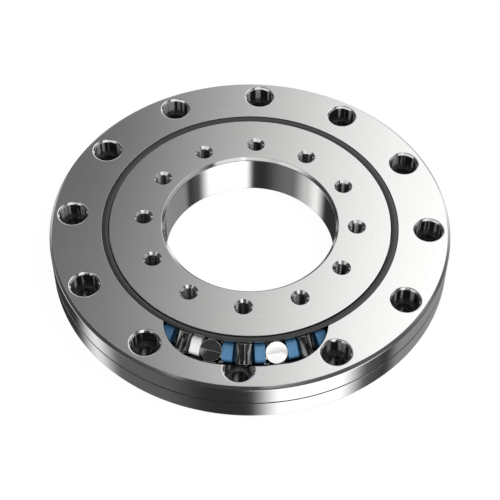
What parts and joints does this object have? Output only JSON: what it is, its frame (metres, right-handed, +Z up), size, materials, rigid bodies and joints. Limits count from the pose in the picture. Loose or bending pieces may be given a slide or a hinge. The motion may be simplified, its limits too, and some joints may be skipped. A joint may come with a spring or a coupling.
{
  "type": "crossed roller bearing",
  "caption": "Slim flanged crossed roller bearing: bolted split outer ring, tapped inner ring, crossed rollers with spacers, seals, and a display window in the outer ring.",
  "frame": {"origin": "centre of the bottom face, on the bearing's axis", "axes": "+Z up along the bearing's axis, towards the counterbored face; the display window faces -Y"},
  "size_m": [0.21, 0.21, 0.025],
  "materials": {
    "ring_steel": "fine turned and ground",
    "roller_steel": "mirror polished",
    "seal_rubber": "matt black",
    "blue_plastic": "satin moulded",
    "white_plastic": "satin moulded",
    "screw_steel": "black oxide"
  },
  "bodies": {
    "outer_ring": {"outer_ring_upper": "ring_steel", "outer_ring_lower": "ring_steel", "upper_seal": "seal_rubber", "lower_seal": "seal_rubber", "ring_screws": "screw_steel"},
    "inner_ring": {"inner_ring": "ring_steel"},
    "roller_train": {"spacer_pair_01": "blue_plastic", "spacer_pair_02": "blue_plastic", "spacer_pair_03": "blue_plastic", "spacer_pair_04": "blue_plastic", "spacer_pair_05": "blue_plastic", "spacer_pair_06": "blue_plastic", "spacer_pair_07": "blue_plastic", "spacer_pair_08": "blue_plastic", "spacer_pair_09": "blue_plastic", "spacer_pair_10": "blue_plastic", "spacer_pair_11": "blue_plastic", "spacer_pair_12": "blue_plastic", "spacer_pair_13": "blue_plastic", "spacer_pair_15": "blue_plastic", "single_spacer": "blue_plastic", "white_spacer": "white_plastic"},
    "roller_01": {"roller_01": "roller_steel"},
    "roller_02": {"roller_02": "roller_steel"},
    "roller_03": {"roller_03": "roller_steel"},
    "roller_04": {"roller_04": "roller_steel"},
    "roller_05": {"roller_05": "roller_steel"},
    "roller_06": {"roller_06": "roller_steel"},
    "roller_07": {"roller_07": "roller_steel"},
    "roller_08": {"roller_08": "roller_steel"},
    "roller_09": {"roller_09": "roller_steel"},
    "roller_10": {"roller_10": "roller_steel"},
    "roller_11": {"roller_11": "roller_steel"},
    "roller_12": {"roller_12": "roller_steel"},
    "roller_13": {"roller_13": "roller_steel"},
    "roller_14": {"roller_14": "roller_steel"},
    "roller_15": {"roller_15": "roller_steel"},
    "roller_16": {"roller_16": "roller_steel"},
    "roller_17": {"roller_17": "roller_steel"},
    "roller_18": {"roller_18": "roller_steel"},
    "roller_19": {"roller_19": "roller_steel"},
    "roller_20": {"roller_20": "roller_steel"},
    "roller_21": {"roller_21": "roller_steel"},
    "roller_22": {"roller_22": "roller_steel"},
    "roller_23": {"roller_23": "roller_steel"},
    "roller_24": {"roller_24": "roller_steel"},
    "roller_25": {"roller_25": "roller_steel"},
    "roller_26": {"roller_26": "roller_steel"},
    "roller_27": {"roller_27": "roller_steel"},
    "roller_28": {"roller_28": "roller_steel"},
    "roller_29": {"roller_29": "roller_steel"},
    "roller_30": {"roller_30": "roller_steel"}
  },
  "joints": [
    {"name": "inner_ring_spin", "type": "hinge", "parent": "outer_ring", "child": "inner_ring", "pos_m": [0, 0, 0.0125], "axis": [0, 0, 1], "continuous": true},
    {"name": "roller_train_orbit", "type": "hinge", "parent": "outer_ring", "child": "roller_train", "pos_m": [0, 0, 0.0125], "axis": [0, 0, 1], "continuous": true},
    {"name": "roller_01_spin", "type": "hinge", "parent": "roller_train", "child": "roller_01", "pos_m": [0.00131, -0.07499, 0.0125], "axis": [-0.0123, 0.707, 0.7071], "continuous": true},
    {"name": "roller_02_spin", "type": "hinge", "parent": "roller_train", "child": "roller_02", "pos_m": [0.01687, -0.07308, 0.0125], "axis": [0.1591, -0.689, 0.7071], "continuous": true},
    {"name": "roller_03_spin", "type": "hinge", "parent": "roller_train", "child": "roller_03", "pos_m": [0.0317, -0.06797, 0.0125], "axis": [-0.2988, 0.6409, 0.7071], "continuous": true},
    {"name": "roller_04_spin", "type": "hinge", "parent": "roller_train", "child": "roller_04", "pos_m": [0.04514, -0.0599, 0.0125], "axis": [0.4255, -0.5647, 0.7071], "continuous": true},
    {"name": "roller_05_spin", "type": "hinge", "parent": "roller_train", "child": "roller_05", "pos_m": [0.0566, -0.0492, 0.0125], "axis": [-0.5337, 0.4639, 0.7071], "continuous": true},
    {"name": "roller_06_spin", "type": "hinge", "parent": "roller_train", "child": "roller_06", "pos_m": [0.0656, -0.03636, 0.0125], "axis": [0.6184, -0.3428, 0.7071], "continuous": true},
    {"name": "roller_07_spin", "type": "hinge", "parent": "roller_train", "child": "roller_07", "pos_m": [0.07172, -0.02193, 0.0125], "axis": [-0.6762, 0.2067, 0.7071], "continuous": true},
    {"name": "roller_08_spin", "type": "hinge", "parent": "roller_train", "child": "roller_08", "pos_m": [0.07471, -0.00654, 0.0125], "axis": [0.7044, -0.0616, 0.7071], "continuous": true},
    {"name": "roller_09_spin", "type": "hinge", "parent": "roller_train", "child": "roller_09", "pos_m": [0.07444, 0.00914, 0.0125], "axis": [-0.7018, -0.0862, 0.7071], "continuous": true},
    {"name": "roller_10_spin", "type": "hinge", "parent": "roller_train", "child": "roller_10", "pos_m": [0.07091, 0.02442, 0.0125], "axis": [0.6686, 0.2302, 0.7071], "continuous": true},
    {"name": "roller_11_spin", "type": "hinge", "parent": "roller_train", "child": "roller_11", "pos_m": [0.06429, 0.03863, 0.0125], "axis": [-0.6061, -0.3642, 0.7071], "continuous": true},
    {"name": "roller_12_spin", "type": "hinge", "parent": "roller_train", "child": "roller_12", "pos_m": [0.05485, 0.05115, 0.0125], "axis": [0.5171, 0.4822, 0.7071], "continuous": true},
    {"name": "roller_13_spin", "type": "hinge", "parent": "roller_train", "child": "roller_13", "pos_m": [0.04302, 0.06144, 0.0125], "axis": [-0.4056, -0.5792, 0.7071], "continuous": true},
    {"name": "roller_14_spin", "type": "hinge", "parent": "roller_train", "child": "roller_14", "pos_m": [0.0293, 0.06904, 0.0125], "axis": [0.2763, 0.6509, 0.7071], "continuous": true},
    {"name": "roller_15_spin", "type": "hinge", "parent": "roller_train", "child": "roller_15", "pos_m": [0.01431, 0.07362, 0.0125], "axis": [-0.1349, -0.6941, 0.7071], "continuous": true},
    {"name": "roller_16_spin", "type": "hinge", "parent": "roller_train", "child": "roller_16", "pos_m": [-0.00131, 0.07499, 0.0125], "axis": [-0.0123, 0.707, 0.7071], "continuous": true},
    {"name": "roller_17_spin", "type": "hinge", "parent": "roller_train", "child": "roller_17", "pos_m": [-0.01687, 0.07308, 0.0125], "axis": [0.1591, -0.689, 0.7071], "continuous": true},
    {"name": "roller_18_spin", "type": "hinge", "parent": "roller_train", "child": "roller_18", "pos_m": [-0.0317, 0.06797, 0.0125], "axis": [-0.2988, 0.6409, 0.7071], "continuous": true},
    {"name": "roller_19_spin", "type": "hinge", "parent": "roller_train", "child": "roller_19", "pos_m": [-0.04514, 0.0599, 0.0125], "axis": [0.4255, -0.5647, 0.7071], "continuous": true},
    {"name": "roller_20_spin", "type": "hinge", "parent": "roller_train", "child": "roller_20", "pos_m": [-0.0566, 0.0492, 0.0125], "axis": [-0.5337, 0.4639, 0.7071], "continuous": true},
    {"name": "roller_21_spin", "type": "hinge", "parent": "roller_train", "child": "roller_21", "pos_m": [-0.0656, 0.03636, 0.0125], "axis": [0.6184, -0.3428, 0.7071], "continuous": true},
    {"name": "roller_22_spin", "type": "hinge", "parent": "roller_train", "child": "roller_22", "pos_m": [-0.07172, 0.02193, 0.0125], "axis": [-0.6762, 0.2067, 0.7071], "continuous": true},
    {"name": "roller_23_spin", "type": "hinge", "parent": "roller_train", "child": "roller_23", "pos_m": [-0.07471, 0.00654, 0.0125], "axis": [0.7044, -0.0616, 0.7071], "continuous": true},
    {"name": "roller_24_spin", "type": "hinge", "parent": "roller_train", "child": "roller_24", "pos_m": [-0.07444, -0.00914, 0.0125], "axis": [-0.7018, -0.0862, 0.7071], "continuous": true},
    {"name": "roller_25_spin", "type": "hinge", "parent": "roller_train", "child": "roller_25", "pos_m": [-0.07091, -0.02442, 0.0125], "axis": [0.6686, 0.2302, 0.7071], "continuous": true},
    {"name": "roller_26_spin", "type": "hinge", "parent": "roller_train", "child": "roller_26", "pos_m": [-0.06429, -0.03863, 0.0125], "axis": [-0.6061, -0.3642, 0.7071], "continuous": true},
    {"name": "roller_27_spin", "type": "hinge", "parent": "roller_train", "child": "roller_27", "pos_m": [-0.05485, -0.05115, 0.0125], "axis": [0.5171, 0.4822, 0.7071], "continuous": true},
    {"name": "roller_28_spin", "type": "hinge", "parent": "roller_train", "child": "roller_28", "pos_m": [-0.04302, -0.06144, 0.0125], "axis": [-0.4056, -0.5792, 0.7071], "continuous": true},
    {"name": "roller_29_spin", "type": "hinge", "parent": "roller_train", "child": "roller_29", "pos_m": [-0.0293, -0.06904, 0.0125], "axis": [0.2763, 0.6509, 0.7071], "continuous": true},
    {"name": "roller_30_spin", "type": "hinge", "parent": "roller_train", "child": "roller_30", "pos_m": [-0.01431, -0.07362, 0.0125], "axis": [-0.1349, -0.6941, 0.7071], "continuous": true}
  ],
  "couplings": [
    {"joint": "roller_train_orbit", "follows": "inner_ring_spin", "ratio": 0.4736},
    {"joint": "roller_01_spin", "follows": "inner_ring_spin", "ratio": -6.6778},
    {"joint": "roller_02_spin", "follows": "inner_ring_spin", "ratio": -6.6778},
    {"joint": "roller_03_spin", "follows": "inner_ring_spin", "ratio": -6.6778},
    {"joint": "roller_04_spin", "follows": "inner_ring_spin", "ratio": -6.6778},
    {"joint": "roller_05_spin", "follows": "inner_ring_spin", "ratio": -6.6778},
    {"joint": "roller_06_spin", "follows": "inner_ring_spin", "ratio": -6.6778},
    {"joint": "roller_07_spin", "follows": "inner_ring_spin", "ratio": -6.6778},
    {"joint": "roller_08_spin", "follows": "inner_ring_spin", "ratio": -6.6778},
    {"joint": "roller_09_spin", "follows": "inner_ring_spin", "ratio": -6.6778},
    {"joint": "roller_10_spin", "follows": "inner_ring_spin", "ratio": -6.6778},
    {"joint": "roller_11_spin", "follows": "inner_ring_spin", "ratio": -6.6778},
    {"joint": "roller_12_spin", "follows": "inner_ring_spin", "ratio": -6.6778},
    {"joint": "roller_13_spin", "follows": "inner_ring_spin", "ratio": -6.6778},
    {"joint": "roller_14_spin", "follows": "inner_ring_spin", "ratio": -6.6778},
    {"joint": "roller_15_spin", "follows": "inner_ring_spin", "ratio": -6.6778},
    {"joint": "roller_16_spin", "follows": "inner_ring_spin", "ratio": -6.6778},
    {"joint": "roller_17_spin", "follows": "inner_ring_spin", "ratio": -6.6778},
    {"joint": "roller_18_spin", "follows": "inner_ring_spin", "ratio": -6.6778},
    {"joint": "roller_19_spin", "follows": "inner_ring_spin", "ratio": -6.6778},
    {"joint": "roller_20_spin", "follows": "inner_ring_spin", "ratio": -6.6778},
    {"joint": "roller_21_spin", "follows": "inner_ring_spin", "ratio": -6.6778},
    {"joint": "roller_22_spin", "follows": "inner_ring_spin", "ratio": -6.6778},
    {"joint": "roller_23_spin", "follows": "inner_ring_spin", "ratio": -6.6778},
    {"joint": "roller_24_spin", "follows": "inner_ring_spin", "ratio": -6.6778},
    {"joint": "roller_25_spin", "follows": "inner_ring_spin", "ratio": -6.6778},
    {"joint": "roller_26_spin", "follows": "inner_ring_spin", "ratio": -6.6778},
    {"joint": "roller_27_spin", "follows": "inner_ring_spin", "ratio": -6.6778},
    {"joint": "roller_28_spin", "follows": "inner_ring_spin", "ratio": -6.6778},
    {"joint": "roller_29_spin", "follows": "inner_ring_spin", "ratio": -6.6778},
    {"joint": "roller_30_spin", "follows": "inner_ring_spin", "ratio": -6.6778}
  ]
}
